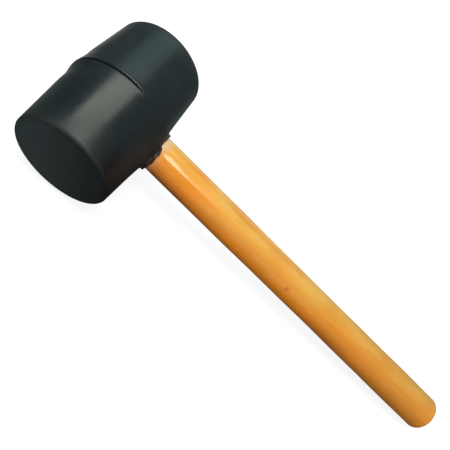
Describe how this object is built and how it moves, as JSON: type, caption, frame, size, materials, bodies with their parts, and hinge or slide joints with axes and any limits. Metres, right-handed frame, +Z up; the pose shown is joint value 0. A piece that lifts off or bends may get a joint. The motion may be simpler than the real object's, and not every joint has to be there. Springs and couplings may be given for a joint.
{
  "type": "rubber mallet",
  "caption": "Rubber mallet with a double-tapered black rubber head on a straight turned hardwood handle, whose wedged tenon sits in a blind eye. It lies on its side.",
  "frame": {"origin": "middle of the underside of the bounding box, on the surface that the mallet lies on", "axes": "+X along the handle towards its butt, Y along the head from striking face to striking face, +Z up, square to both"},
  "size_m": [0.3916, 0.112, 0.0774],
  "materials": {
    "rubber": "smooth moulded black rubber with a satin sheen",
    "lacquered_wood": "turned hardwood under clear amber lacquer",
    "wedge_wood": "bare sawn hardwood"
  },
  "bodies": {
    "root": {"rubber_head": "rubber", "handle": "lacquered_wood", "wood_wedge": "wedge_wood"}
  },
  "joints": []
}
